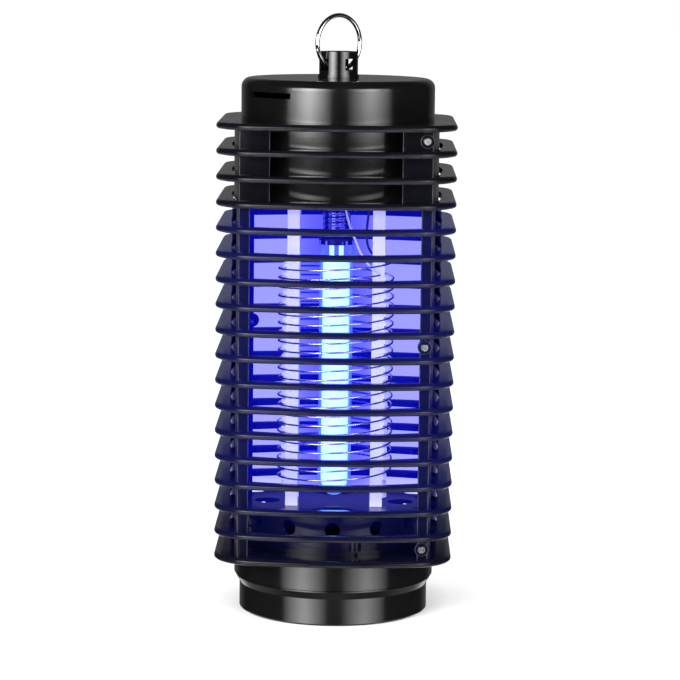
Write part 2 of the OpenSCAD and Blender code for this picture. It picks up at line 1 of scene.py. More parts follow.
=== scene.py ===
"""Looks of an electric bug zapper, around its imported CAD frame. Lengths are in metres; the front is -Y."""

import math

import bmesh
import bpy
import numpy as np
from mathutils import Matrix, Vector


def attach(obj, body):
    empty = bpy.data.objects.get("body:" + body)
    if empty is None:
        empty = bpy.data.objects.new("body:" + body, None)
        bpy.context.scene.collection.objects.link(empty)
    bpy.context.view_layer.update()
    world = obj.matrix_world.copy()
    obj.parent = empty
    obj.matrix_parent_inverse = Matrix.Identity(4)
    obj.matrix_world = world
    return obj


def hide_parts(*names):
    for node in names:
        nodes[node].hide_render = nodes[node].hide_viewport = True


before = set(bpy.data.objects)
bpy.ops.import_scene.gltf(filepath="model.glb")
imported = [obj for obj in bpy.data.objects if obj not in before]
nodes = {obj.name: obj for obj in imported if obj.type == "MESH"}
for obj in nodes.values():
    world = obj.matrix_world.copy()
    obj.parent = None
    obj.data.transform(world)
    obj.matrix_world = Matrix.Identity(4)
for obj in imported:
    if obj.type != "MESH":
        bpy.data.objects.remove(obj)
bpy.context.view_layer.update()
mm = 0.001

# ---- Camera ----

lens_mm = 148.756
camera_place = Vector((0.01528, -1.289, 0.30137))
camera_turn = 0.01025
camera_pitch = 0.13579
camera_roll = 0.01142

forward = Vector((
    -camera_turn * math.cos(camera_pitch),
    math.cos(camera_pitch),
    -math.sin(camera_pitch),
)).normalized()
level = forward.cross(Vector((0, 0, 1))).normalized()
upright = level.cross(forward)
right = level * math.cos(camera_roll) + upright * math.sin(camera_roll)
up = upright * math.cos(camera_roll) - level * math.sin(camera_roll)
camera = bpy.data.objects.new("camera", bpy.data.cameras.new("camera"))
camera.data.lens = lens_mm
camera.data.sensor_width = 36
camera.data.clip_start = 0.05
camera.data.clip_end = 50
turned = Matrix((right, up, -forward)).transposed().to_4x4()
camera.matrix_world = Matrix.Translation(camera_place) @ turned
bpy.context.scene.collection.objects.link(camera)
bpy.context.scene.camera = camera
bpy.context.scene.view_settings.view_transform = "Standard"

# ---- Dimensions, as in the CAD source ----

wall_half = 48.2 * mm
wall_depth = 44.6 * mm
wall_bow_r = 198 * mm
wall_t = 2.2 * mm
window_half = 38.2 * mm
back_window_half = 39.8 * mm
upper_window_half = 29.4 * mm
louvre_half = 54 * mm
louvre_depth = 55 * mm
louvre_bow_r = 220 * mm
louvre_corner_r = 20 * mm
slat_w = 4 * mm
louvre_t = 3 * mm
louvre_pitch = 11.5 * mm
louvre_count = 18
louvre_first_z = 29.2 * mm
upper_bays = 3
plate_top_z = louvre_first_z + louvre_t
top_plate_z = louvre_first_z + (louvre_count - 1) * louvre_pitch
housing_z = top_plate_z - upper_bays * louvre_pitch
upper_window_z = housing_z + louvre_t
cap_r = 44.3 * mm
case_t = 2 * mm
base_hole_r = 34 * mm
grid_r = 26.4 * mm
grid_pitch = 8.4 * mm
grid_turns = 11.5
grid_top_z = 157.6 * mm
live_top_angle = -40
return_top_angle = -5
thread_pitch = 2.54 * mm
thread_depth = 0.2 * mm

# ---- Mesh building ----


class Shape:
    """Collects lofted surfaces, with a number for each point that says how worn it is and how much edge
    highlight is painted there.
    """

    def __init__(self):
        self.points = []
        self.faces = []
        self.wear_and_highlight = []

    def loft(self, rings, wear_and_highlight, loop=False):
        """Joins rings of points, each closed. wear_and_highlight has one number for each point of a ring."""
        rings = np.asarray(rings, float)
        count, size = rings.shape[:2]
        start = len(self.points)
        self.points.extend(rings.reshape(-1, 3).tolist())
        self.wear_and_highlight.extend(np.broadcast_to(wear_and_highlight, (count, size)).reshape(-1).tolist())
        for i in range(count if loop else count - 1):
            a = start + i * size
            b = start + (i + 1) % count * size
            for k in range(size):
                n = (k + 1) % size
                self.faces.append((a + k, a + n, b + n, b + k))
        if not loop:
            self.faces.append(tuple(range(start, start + size)))
            self.faces.append(tuple(range(start + (count - 1) * size, start + count * size)))
        return self

    def lathe(self, outline, steps, place=None):
        """Turns a closed outline of (radius, height, wear and highlight) about the vertical, or the place's
        own Z.
        """
        outline = np.asarray(outline, float)
        angles = np.radians(360 * np.arange(steps) / steps)
        r, z = outline[:, 0], outline[:, 1]
        rings = np.stack([
            np.outer(np.cos(angles), r),
            np.outer(np.sin(angles), r),
            np.broadcast_to(z, (len(angles), len(z))),
        ], axis=2)
        if place is not None:
            rings = rings @ np.array(place.to_3x3()).T + np.array(place.translation)
        return self.loft(rings, outline[:, 2], loop=True)

    def prism(self, outline, low, high):
        """Stands a closed outline of (x, y, wear and highlight) up between two heights."""
        outline = np.asarray(outline, float)
        rings = np.stack([np.column_stack([outline[:, :2], np.full(len(outline), z)]) for z in (low, high)])
        return self.loft(rings, outline[:, 2])

    def turned(self, angle):
        """The same shape turned about the vertical."""
        made = Shape()
        spin = np.array(Matrix.Rotation(math.radians(angle), 3, "Z"))
        made.points = (np.asarray(self.points) @ spin.T).tolist()
        made.faces = list(self.faces)
        made.wear_and_highlight = list(self.wear_and_highlight)
        return made

    def piece(self, name, body, slot, stands_for=(), sharp=32):
        """Makes the object, which rides on a body and stands for CAD nodes."""
        mesh = bpy.data.meshes.new(name)
        mesh.from_pydata(self.points, [], self.faces)
        mesh.attributes.new("wear_and_highlight", "FLOAT", "POINT").data.foreach_set("value", self.wear_and_highlight)
        work = bmesh.new()
        work.from_mesh(mesh)
        bmesh.ops.remove_doubles(work, verts=work.verts, dist=1e-7)
        bmesh.ops.recalc_face_normals(work, faces=work.faces)
        work.to_mesh(mesh)
        work.free()
        mesh.polygons.foreach_set("use_smooth", [True] * len(mesh.polygons))
        mesh.set_sharp_from_angle(angle=math.radians(sharp))
        made = bpy.data.objects.new(name, mesh)
        bpy.context.scene.collection.objects.link(made)
        made.data.materials.append(finishes[slot])
        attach(made, body)
        if stands_for:
            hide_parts(*stands_for)
        return made


def rounded(corners, steps=5):
    """A closed outline from corners of (x, y, radius), as (x, y, wear and highlight) with both on each
    rounding.
    """
    made = []
    for i, (x, y, r) in enumerate(corners):
        here = np.array([x, y])
        if r == 0:
            made.append((x, y, 0.0))
            continue
        before = np.array(corners[i - 1][:2]) - here
        after = np.array(corners[(i + 1) % len(corners)][:2]) - here
        before /= np.linalg.norm(before)
        after /= np.linalg.norm(after)
        half = math.acos(np.clip(before @ after, -1, 1)) / 2
        centre = here + (before + after) / np.linalg.norm(before + after) * r / math.sin(half)
        first = here + before * r / math.tan(half) - centre
        last = here + after * r / math.tan(half) - centre
        turn = math.pi - 2 * half
        for k in range(steps + 1):
            t = k / steps
            spot = (math.sin((1 - t) * turn) * first + math.sin(t * turn) * last) / math.sin(turn)
            made.append((*(centre + spot), math.sin(math.pi * t)))
    return made


def tube(path, radius, sides=10):
    """Rings of a round wire along a path."""
    path = np.asarray(path, float)
    ahead = np.gradient(path, axis=0)
    ahead /= np.linalg.norm(ahead, axis=1)[:, None]
    side = np.cross(ahead, [0, 0, 1.0])
    side /= np.linalg.norm(side, axis=1)[:, None]
    over = np.cross(ahead, side)
    angles = 2 * np.pi * np.arange(sides) / sides
    return (
        path[:, None]
        + radius * np.cos(angles)[None, :, None] * side[:, None]
        + radius * np.sin(angles)[None, :, None] * over[:, None]
    )


def smooth_path(points, steps=8):
    """A Catmull-Rom curve through a path's points."""
    p = np.asarray(points, float)
    p = np.vstack([2 * p[0] - p[1], p, 2 * p[-1] - p[-2]])
    made = []
    for i in range(1, len(p) - 2):
        for k in range(steps):
            t = k / steps
            made.append(0.5 * (
                2 * p[i]
                + (p[i + 1] - p[i - 1]) * t
                + (2 * p[i - 1] - 5 * p[i] + 4 * p[i + 1] - p[i + 2]) * t * t
                + (3 * p[i] - p[i - 1] - 3 * p[i + 1] + p[i + 2]) * t ** 3
            ))
    made.append(p[-2])
    return np.array(made)


# ---- Materials ----


def add(tree, kind, **values):
    """A node with its inputs set by name, or linked where the value is a socket."""
    made = tree.nodes.new(kind)
    for key, value in values.items():
        name = key.replace("_", " ")
        if name in made.inputs:
            if isinstance(value, bpy.types.NodeSocket):
                tree.links.new(value, made.inputs[name])
            else:
                made.inputs[name].default_value = value
        else:
            setattr(made, key, value)
    return made


def maths(tree, operation, *values, clamp=False):
    """The result of a sum on numbers and sockets."""
    made = tree.nodes.new("ShaderNodeMath")
    made.operation = operation
    made.use_clamp = clamp
    for socket, value in zip(made.inputs, values):
        if isinstance(value, bpy.types.NodeSocket):
            tree.links.new(value, socket)
        else:
            socket.default_value = value
    return made.outputs[0]


def ramp(tree, value, low, high, out_low=0.0, out_high=1.0):
    """Maps a value from one range to another, and keeps it there."""
    made = tree.nodes.new("ShaderNodeMapRange")
    for socket, number in zip(made.inputs, (value, low, high, out_low, out_high)):
        if isinstance(number, bpy.types.NodeSocket):
            tree.links.new(number, socket)
        else:
            socket.default_value = number
    return made.outputs[0]


def blend_colour(tree, share, first, second):
    """Mixes two colours, each a value or a socket."""
    made = tree.nodes.new("ShaderNodeMix")
    made.data_type = "RGBA"
    for socket, value in zip((made.inputs[0], made.inputs[6], made.inputs[7]), (share, first, second)):
        if isinstance(value, bpy.types.NodeSocket):
            tree.links.new(value, socket)
        else:
            socket.default_value = value if isinstance(value, float) else (*value, 1)
    return made.outputs[2]


def noise(tree, where, scale, detail=3.0, roughness=0.55):
    """Noise at a place, from 0 to 1."""
    made = add(tree, "ShaderNodeTexNoise", Scale=scale, Detail=detail, Roughness=roughness)
    tree.links.new(where, made.inputs["Vector"])
    return made.outputs[0]


mottle_scale = 70.0
grain_scale = 1600.0
dust_colour = (0.3, 0.29, 0.27)


def finish(
    name, colour, rough, metal=0.0, specular=0.5, rough_spread=0.06, mottle=0.12,
    grain=0.1, stretch=(1, 1, 1), dust=0.0, worn_and_highlit=None, worn_rough=0.0,
):
    """A material with mottled colour, uneven roughness, fine grain, dust on top, and a worn-edge colour that
    also serves for painted edge highlights.
    """
    made = bpy.data.materials.new(name)
    made.use_nodes = True
    tree = made.node_tree
    shader = tree.nodes["Principled BSDF"]
    shader.inputs["Metallic"].default_value = metal
    shader.inputs["Specular IOR Level"].default_value = specular
    where = add(tree, "ShaderNodeTexCoord").outputs["Object"]
    spread = add(tree, "ShaderNodeMapping", Scale=stretch)
    tree.links.new(where, spread.inputs["Vector"])
    coarse = noise(tree, where, mottle_scale)
    fine = noise(tree, spread.outputs[0], grain_scale, 2.0)
    dark = tuple(c * (1 - mottle) for c in colour)
    light = tuple(min(1, c * (1 + mottle)) for c in colour)
    hue = blend_colour(tree, ramp(tree, coarse, 0.35, 0.65), dark, light)
    roughness = ramp(tree, coarse, 0.3, 0.7, rough - rough_spread, rough + rough_spread)
    smudge = noise(tree, where, mottle_scale * 0.35, 5.0, 0.7)
    roughness = maths(tree, "ADD", roughness, ramp(tree, smudge, 0.5, 0.75, 0.0, rough_spread))
    if worn_and_highlit is not None:
        edge = add(tree, "ShaderNodeAttribute", attribute_name="wear_and_highlight").outputs["Fac"]
        patch = ramp(tree, noise(tree, where, mottle_scale * 3), 0.3, 0.65, 0.35, 1.0)
        share = maths(tree, "MULTIPLY", edge, patch, clamp=True)
        hue = blend_colour(tree, share, hue, worn_and_highlit)
        roughness = maths(tree, "ADD", roughness, maths(tree, "MULTIPLY", share, worn_rough - rough))
    if dust:
        facing = add(tree, "ShaderNodeNewGeometry").outputs["Normal"]
        upward = add(tree, "ShaderNodeSeparateXYZ", Vector=facing).outputs["Z"]
        speck = ramp(tree, noise(tree, where, mottle_scale * 4, 4.0, 0.7), 0.4, 0.75)
        settled = maths(tree, "MULTIPLY", ramp(tree, upward, 0.6, 1.0, 0.0, dust), speck)
        hue = blend_colour(tree, settled, hue, dust_colour)
        roughness = maths(tree, "ADD", roughness, maths(tree, "MULTIPLY", settled, 0.4), clamp=True)
    tree.links.new(hue, shader.inputs["Base Color"])
    tree.links.new(roughness, shader.inputs["Roughness"])
    if grain:
        bump = add(tree, "ShaderNodeBump", Strength=grain, Distance=0.0001)
        tree.links.new(fine, bump.inputs["Height"])
        tree.links.new(bump.outputs[0], shader.inputs["Normal"])
    return made


def shader_of(material):
    return material.node_tree.nodes["Principled BSDF"]


finishes = {
    "black_plastic": finish(
        "black_plastic", (0.0026, 0.0026, 0.0028), 0.15, rough_spread=0.02, dust=0.01,
        worn_and_highlit=(0.02, 0.02, 0.022), worn_rough=0.18,
    ),
    # Its worn-edge colour is lighter than wear alone gives: it also paints highlight lines along the cage's
    # rounded edges.
    "cage_plastic": finish(
        "cage_plastic", (0.0025, 0.0025, 0.004), 0.13, specular=0.15, rough_spread=0.02, dust=0.01,
        worn_and_highlit=(0.05, 0.05, 0.055), worn_rough=0.18,
    ),
    "rubber": finish("rubber", (0.012, 0.012, 0.012), 0.62, mottle=0.2, grain=0.3),
    "chrome": finish(
        "chrome", (0.78, 0.79, 0.81), 0.09, metal=1.0, rough_spread=0.03, mottle=0.05, grain=0.05,
    ),
    "screw_steel": finish("screw_steel", (0.72, 0.73, 0.75), 0.22, metal=1.0, mottle=0.1, grain=0.1),
    "nickel": finish("nickel", (0.62, 0.62, 0.64), 0.2, metal=1.0, mottle=0.12, grain=0.1),
    "contact_brass": finish("contact_brass", (0.75, 0.56, 0.26), 0.28, metal=1.0),
    "lamp_collar_plastic": finish("lamp_collar_plastic", (0.012, 0.012, 0.014), 0.28),
    "clear_glass": finish("clear_glass", (0.75, 0.9, 1.0), 0.03, rough_spread=0.01, mottle=0.02, grain=0.0),
    "glowing_tube": finish("glowing_tube", (0.8, 0.92, 1.0), 0.3, mottle=0.03, grain=0.0),
    "white_plastic": finish("white_plastic", (0.86, 0.86, 0.85), 0.38, mottle=0.03, grain=0.15),
    "grid_steel": finish(
        "grid_steel", (0.72, 0.72, 0.75), 0.24, metal=1.0, mottle=0.15, grain=0.2, stretch=(1, 1, 6),
    ),
    "pale_insulation": finish("pale_insulation", (0.78, 0.79, 0.84), 0.4, mottle=0.05),
    "dark_insulation": finish("dark_insulation", (0.015, 0.015, 0.03), 0.4),
    "board_laminate": finish("board_laminate", (0.09, 0.2, 0.07), 0.45, mottle=0.2, grain=0.2),
    "capacitor_resin": finish("capacitor_resin", (0.42, 0.07, 0.03), 0.35),
    "diode_resin": finish("diode_resin", (0.02, 0.02, 0.022), 0.4),
    "resistor_body": finish("resistor_body", (0.62, 0.5, 0.3), 0.4),
    "terminal_plastic": finish("terminal_plastic", (0.75, 0.75, 0.7), 0.4, mottle=0.06),
}


painted_glow_rise = 45 * mm
painted_glow_fall = 10 * mm
near_r = 30 * mm
far_r = 42 * mm


def paint_lamp_glow(material, low, high, colour, strength, near=1.0):
    """Painted lamplight: a glow painted into the plastic's emission, strongest near the lamp, with painted
    shade that keeps it weak on undersides.
    """
    tree = material.node_tree
    where = add(tree, "ShaderNodeTexCoord").outputs["Object"]
    place = add(tree, "ShaderNodeSeparateXYZ", Vector=where)
    rise = ramp(tree, place.outputs["Z"], low, low + painted_glow_rise)
    fall = ramp(tree, place.outputs["Z"], high - painted_glow_fall, high, 1.0, 0.0)
    across = [maths(tree, "MULTIPLY", place.outputs[axis], place.outputs[axis]) for axis in "XY"]
    around = ramp(tree, maths(tree, "ADD", *across), near_r ** 2, far_r ** 2, near, 1.0)
    patch = ramp(tree, noise(tree, where, 45.0), 0.3, 0.7, 0.8, 1.2)
    facing = add(tree, "ShaderNodeNewGeometry").outputs["Normal"]
    upward = add(tree, "ShaderNodeSeparateXYZ", Vector=facing).outputs["Z"]
    # Painted shade: the glow is weaker on faces that turn down.
    painted_underside_shade = ramp(tree, upward, -0.7, 0.1, 0.15, 1.0)
    share = maths(tree, "MULTIPLY", maths(tree, "MULTIPLY", rise, fall), patch)
    share = maths(tree, "MULTIPLY", share, painted_underside_shade)
    shader = shader_of(material)
    tree.links.new(blend_colour(tree, share, (0, 0, 0), colour), shader.inputs["Emission Color"])
    tree.links.new(maths(tree, "MULTIPLY", around, strength), shader.inputs["Emission Strength"])


# Painted lamplight: a blue glow in the cage plastic, strongest near the lamp, and a pale one in the white
# posts
paint_lamp_glow(finishes["cage_plastic"], 28 * mm, upper_window_z, (0.02, 0.04, 1.0), 0.07, near=4.0)
paint_lamp_glow(finishes["white_plastic"], 30 * mm, upper_window_z, (0.85, 0.88, 1.0), 0.45)

glow = shader_of(finishes["glowing_tube"])
glow.inputs["Emission Color"].default_value = (0.24, 0.5, 1.0, 1)
glow.inputs["Emission Strength"].default_value = 6.5

glass_tree = finishes["clear_glass"].node_tree
glass = shader_of(finishes["clear_glass"])
rim = glass_tree.nodes.new("ShaderNodeLayerWeight")
rim.inputs["Blend"].default_value = 0.35
glass_tree.links.new(
    ramp(glass_tree, rim.outputs["Facing"], 0.2, 0.95, 0.05, 0.75), glass.inputs["Alpha"]
)

for name, node in nodes.items():
    slot_name = node.data.materials[0].name.split(".")[0]
    for held in range(len(node.data.materials)):
        node.material_slots[held].link = "OBJECT"
        node.material_slots[held].material = finishes[slot_name]

# ---- Cage: louvres, plates, walls and screw bosses ----

louvre_low_r = 1.35 * mm
louvre_high_r = 1.6 * mm
louvre_inner_r = 0.25 * mm
# Wear on the louvres' lower rounded edge, whose lighter colour also paints a highlight line along it
louvre_wear_and_highlight = 0.3
window_edge_r = 0.45 * mm
wall_corner_r = 0.6 * mm
wall_inner_r = 0.3 * mm
wall_sunk = 0.5 * mm


def headings(angles):
    """Outward directions, by their angles from the front towards the left, in degrees."""
    turns = np.radians(angles)
    return np.column_stack([-np.sin(turns), -np.cos(turns)])


def louvre_edge():
    """A louvre's front and left edges, from front right to back left, and which way they face."""
    centre_x = louvre_half - louvre_corner_r
    reach = louvre_bow_r - louvre_corner_r
    arc_y = louvre_bow_r - louvre_depth
    centre_y = math.sqrt(reach ** 2 - centre_x ** 2) - arc_y
    bend = math.degrees(math.asin(centre_x / reach))
    root = math.sqrt(2 * louvre_corner_r ** 2 - (centre_x - centre_y) ** 2)
    seam = (centre_x + centre_y + root) / 2
    seam_turn = math.degrees(math.atan2(seam - centre_x, seam - centre_y))
    along = np.linspace(-centre_y, centre_y, 13)[1:-1]
    arcs = [
        ((centre_x, -centre_y), louvre_corner_r, [-seam_turn]),
        ((centre_x, -centre_y), louvre_corner_r, np.linspace(-seam_turn, -bend, 10)),
        ((0, arc_y), louvre_bow_r, np.linspace(-bend, bend, 31)[1:-1]),
        ((-centre_x, -centre_y), louvre_corner_r, np.linspace(bend, 90, 20)),
        (None, along, np.full(len(along), 90)),
        ((-centre_x, centre_y), louvre_corner_r, np.linspace(90, 180 - seam_turn, 12)),
    ]
    points, out = [], []
    for centre, size, angles in arcs:
        faces = headings(angles)
        out.append(faces)
        if centre is None:
            points.append(np.column_stack([np.full(len(size), -louvre_half), size]))
        else:
            points.append(np.array(centre) + size * faces)
    return np.vstack(points), np.vstack(out)


def wall_side(y, inset=0.0):
    """How far the wall's left and right sides stand out from the middle, at a depth."""
    return wall_half - wall_bow_r + np.sqrt((wall_bow_r - inset) ** 2 - y ** 2)


def seam_crossing(inset):
    """How far out the seam's diagonal crosses the wall's side."""
    reach = wall_bow_r - wall_half
    return (-reach + math.sqrt(2 * (wall_bow_r - inset) ** 2 - reach ** 2)) / 2


def slat_edge(x):
    """How far forward the open space behind a louvre's front reaches: bowed, and no less than the wall."""
    bulge = louvre_depth - slat_w - wall_depth
    arc_r = (window_half ** 2 + bulge ** 2) / (2 * bulge)
    if abs(x) >= window_half:
        return wall_depth
    return wall_depth + bulge - arc_r + math.sqrt(arc_r ** 2 - x ** 2)


def wall_edge(points, out, bowed):
    """Points of a louvre's inner edge that face its outer edge, and which way they face."""
    made, faces = [], []
    corner_x = wall_side(wall_depth)
    crossing = seam_crossing(0)
    on_side = out[:, 0] < -math.sqrt(0.5) - 1e-9
    left_x = -points[~on_side][-1][0]
    near_y = -points[on_side][0][1]
    far_y = points[-1][1]
    for (x, y), side in zip(points, on_side):
        if side:
            y = y * wall_depth / near_y if y < 0 else y * crossing / far_y
            here = np.array([-wall_side(y), y])
            facing = here - [wall_bow_r - wall_half, 0]
            made.append(here)
            faces.append(facing / np.linalg.norm(facing))
        else:
            x = x * corner_x / (points[0][0] if x > 0 else left_x)
            made.append(np.array([x, -slat_edge(x) if bowed else -wall_depth]))
            faces.append(np.array([0.0, -1.0]))
    made[0] = np.array([crossing, -crossing])
    return np.array(made), np.array(faces)


def mitred(points):
    """Holds the two ends back a little from the seam between the cage's halves."""
    seam_gap = 0.05 * mm / math.sqrt(2)
    points = points.copy()
    points[0] -= seam_gap
    points[-1] -= seam_gap
    return points


def edge_section(low, high, steps=5):
    """Outline of a louvre's cross section: (share at the inner edge, way in from the edge, height, wear and
    highlight).

    Its outer edge is fully rounded.
    """
    made = []
    for at in np.linspace(math.pi / 2, 0, 2 * steps + 1):
        inward = louvre_low_r * (1 - math.cos(at))
        made.append((0, inward, low + louvre_low_r * (1 - math.sin(at)), louvre_wear_and_highlight * math.sin(2 * at)))
    for at in np.linspace(0, math.pi / 2, 2 * steps + 1):
        inward = louvre_high_r * (1 - math.cos(at))
        made.append((0, inward, high - louvre_high_r * (1 - math.sin(at)), 0.0))
    a = np.linspace(0, math.pi / 2, steps + 1)
    inward = louvre_inner_r * (1 - np.cos(a))
    upward = louvre_inner_r * (1 - np.sin(a))
    made += [(1, inward[k], high - upward[k], 0) for k in range(steps, -1, -1)]
    made += [(1, inward[k], low + upward[k], 0) for k in range(steps + 1)]
    return np.array(made)


def add_band(shape, low, high, outer, outer_out, inner, inner_out):
    """A flat band between two outlines, with shaped edges."""
    section = edge_section(low, high)
    rings = []
    for po, no, pi, ni in zip(mitred(outer), outer_out, mitred(inner), inner_out):
        flat = np.where(
            (section[:, 0] == 0)[:, None], po - section[:, 1:2] * no, pi + section[:, 1:2] * ni
        )
        rings.append(np.column_stack([flat, section[:, 2]]))
    shape.loft(rings, section[:, 3])


louvre_outer, louvre_out = louvre_edge()
louvres = Shape()
for i in range(1, louvre_count - 1):
    low = louvre_first_z + i * louvre_pitch
    inner = wall_edge(louvre_outer, louvre_out, bowed=i < louvre_count - 1 - upper_bays)
    add_band(louvres, low, low + louvre_t, louvre_outer, louvre_out, *inner)
louvres.piece("louvres_front_left_moulded", "housing", "cage_plastic", ["louvres_front_left"])
louvres.turned(180).piece("louvres_back_right_moulded", "housing", "cage_plastic", ["louvres_back_right"])


def wall_plans(front_window, window):
    """Outlines of the front and left walls' strips beside their windows."""
    front, back = -wall_depth, wall_t - wall_depth
    corner_x, inner_x = wall_side(wall_depth), wall_side(back, wall_t)
    seam_out, seam_in = seam_crossing(0), seam_crossing(wall_t)
    near = np.linspace(wall_depth, window, 9)[1:-1]
    front_right = [
        (front_window, front, window_edge_r), (corner_x, front, wall_corner_r), (seam_out, -seam_out, 0),
        (seam_in, -seam_in, 0), (inner_x, back, 0), (front_window, back, wall_inner_r),
    ]
    corner = [(-front_window, back, wall_inner_r), (-front_window, front, window_edge_r)]
    corner += [(-corner_x, front, wall_corner_r)]
    corner += [(-wall_side(y), -y, 0) for y in near] + [(-wall_side(window), -window, window_edge_r)]
    corner += [(-wall_side(window, wall_t), -window, wall_inner_r)]
    corner += [(-wall_side(y, wall_t), -y, 0) for y in near[::-1] if y < -back] + [(-inner_x, back, 0)]
    far = np.linspace(window, seam_out, 7)
    back_left = [(-wall_side(window), window, window_edge_r)]
    back_left += [(-wall_side(y), y, 0) for y in far[1:]] + [(-seam_in, seam_in, 0)]
    back_left += [(-wall_side(y, wall_t), y, 0) for y in far[-2:0:-1] if y < seam_in]
    back_left += [(-wall_side(window, wall_t), window, wall_inner_r)]
    return [rounded(plan) for plan in (front_right, corner, back_left)]


def wall_pieces(front_window):
    """The walls of one half, which run a little way into its plates."""
    made = Shape()
    for plan in wall_plans(front_window, window_half):
        made.prism(plan, plate_top_z - wall_sunk, upper_window_z)
    for plan in wall_plans(upper_window_half, upper_window_half):
        made.prism(plan, upper_window_z, top_plate_z + wall_sunk)
    return made


def circle_of(points, radius):
    """Points of a circle in the same directions as an outline's points."""
    out = points / np.linalg.norm(points, axis=1)[:, None]
    return out * radius, out


shell_screw_x = 40.4 * mm
shell_screw_bays = (0, 8, 16)
boss_front_y = 45.4 * mm
boss_r = 3.2 * mm
boss_hole_r = 1.2 * mm
boss_l = 2.8 * mm
bay_middle = (louvre_pitch - louvre_t) / 2
screw_heights = [top_plate_z - bay * louvre_pitch - bay_middle for bay in shell_screw_bays]


def shell_half(front_window):
    """One half of the cage: walls, half plates and screw bosses."""
    shell = wall_pieces(front_window)
    for low, hole_r in ((louvre_first_z, base_hole_r), (top_plate_z, cap_r - case_t)):
        hole, hole_out = circle_of(louvre_outer, hole_r)
        add_band(shell, low, low + louvre_t, louvre_outer, louvre_out, hole, hole_out)
    boss = rounded([
        (boss_hole_r, 0, 0.1 * mm), (boss_r, 0, 0.4 * mm), (boss_r, -boss_l, 0), (boss_hole_r, -boss_l, 0)
    ])
    forwards = Matrix.Rotation(math.pi / 2, 4, "X")
    for height in screw_heights:
        shell.lathe(boss, 48, place=Matrix.Translation((shell_screw_x, -boss_front_y, height)) @ forwards)
    return shell


shell_half(window_half).piece("shell_front_left_moulded", "housing", "cage_plastic", ["shell_front_left"])
shell_half(back_window_half).turned(180).piece(
    "shell_back_right_moulded", "housing", "cage_plastic", ["shell_back_right"]
)

# ---- Lamp housing ----

holder_hole_r = 9.2 * mm
housing_floor_z = housing_z + 2.5 * mm
housing_top_z = top_plate_z - 0.1 * mm
housing = Shape()
housing.lathe(rounded([
    (holder_hole_r, housing_z, 0.2 * mm), (cap_r, housing_z, 0.8 * mm), (cap_r, housing_top_z, 0),
    (cap_r - case_t, housing_top_z, 0), (cap_r - case_t, housing_floor_z, 0),
    (holder_hole_r, housing_floor_z, 0),
]), 192)
housing.piece("lamp_housing_moulded", "housing", "black_plastic", ["lamp_housing"])

# ---- Lamp, its thread and the holder's sleeve ----

cap_thread_r = 5.75 * mm
lamp_cap_z = 176.6 * mm
lamp_cap_top_z = 196.4 * mm
lamp_cap_end_z = lamp_cap_top_z - 0.1 * mm
contact_seat_r = 3.2 * mm
sleeve_inner_r = 5.95 * mm
sleeve_outer_r = 6.3 * mm
sleeve_z = 176.8 * mm
sleeve_top_z = 200.4 * mm


def threaded(radius, low, high, steps=72):
    """A surface rolled with a screw thread, as rings up its height."""
    rings = []
    angles = 2 * np.pi * np.arange(steps) / steps
    for z in np.arange(low, high + 1e-9, thread_pitch / 14):
        fade = min(1.0, (z - low) / thread_pitch * 2, (high - z) / thread_pitch * 2)
        r = radius + thread_depth * fade * np.cos(2 * np.pi * z / thread_pitch - angles)
        rings.append(np.column_stack([r * np.cos(angles), r * np.sin(angles), np.full(steps, z)]))
    return rings


lamp_cap = Shape()
lamp_cap.loft(threaded(cap_thread_r, lamp_cap_z, lamp_cap_top_z), 0.0)
lamp_cap.lathe(rounded([
    (0, lamp_cap_end_z, 0), (cap_thread_r - 0.05 * mm, lamp_cap_end_z, 0.2 * mm),
    (contact_seat_r, lamp_cap_end_z + mm, 0.3 * mm), (0, lamp_cap_end_z + mm, 0),
]), 64)
lamp_cap.piece("lamp_cap_threaded", "lamp", "nickel", ["lamp_base"])

sleeve = Shape()
outside = threaded(sleeve_outer_r, sleeve_z, sleeve_top_z)
sleeve.loft(outside + threaded(sleeve_inner_r, sleeve_z, sleeve_top_z)[::-1], 0.0, loop=True)
sleeve.piece("holder_sleeve_threaded", "housing", "nickel", ["holder_sleeve"])

# ---- Grid windings and leads ----

grid_wire_r = 0.45 * mm
lead_r = 0.55 * mm


def winding(top_angle, lift):
    """The path of one wire, from its top end down."""
    steps = int(60 * grid_turns)
    angles = top_angle - 360 * grid_turns * np.arange(steps + 1) / steps
    top_z = grid_top_z - grid_pitch * live_top_angle / 360 + lift
    across = np.radians(angles)
    return np.column_stack([
        grid_r * np.cos(across), grid_r * np.sin(across), top_z + grid_pitch * angles / 360
    ])


live_coil = winding(live_top_angle, 0)
return_coil = winding(return_top_angle, grid_pitch / 2)
for name, coil in (("live", live_coil), ("return", return_coil)):
    Shape().loft(tube(coil, grid_wire_r), 0.0).piece(
        f"grid_wire_{name}_drawn", "housing", "grid_steel", [f"grid_wire_{name}"], sharp=60
    )

# Points of the leads in millimetres, from the circuit board down to the windings
live_route = [
    (4.6, -18, 211.1), (4.4, -16.4, 203), (4.2, -15, 196), (4.2, -15, 192), (4.2, -15, 188),
    (5.5, -14.5, 182), (7.6, -14.4, 176), (9.6, -14.6, 171), (11.8, -15, 166.5),
    (14.5, -15.6, 162.6), (17.3, -16.4, 159.6),
]
return_route = [
    (15.6, -10, 211.1), (15.4, -8.8, 203), (15.2, -8, 196), (15.2, -8, 192), (15.2, -8, 188),
    (14.4, -7.8, 183), (13.9, -7.4, 177), (14.2, -6.8, 171), (15.9, -6, 167), (18.7, -5, 164.6),
    (21.9, -4, 163.6),
]
for name, route, end, slot_name in (
    ("live", live_route, live_coil[0], "pale_insulation"),
    ("return", return_route, return_coil[0], "dark_insulation"),
):
    path = smooth_path(np.vstack([np.array(route) * mm, end]))
    rings = tube(path, lead_r, 12)
    Shape().loft(rings, 0.0).piece(f"{name}_lead_drawn", "housing", slot_name, [f"{name}_lead"], sharp=60)

# ---- Light in the cage ----


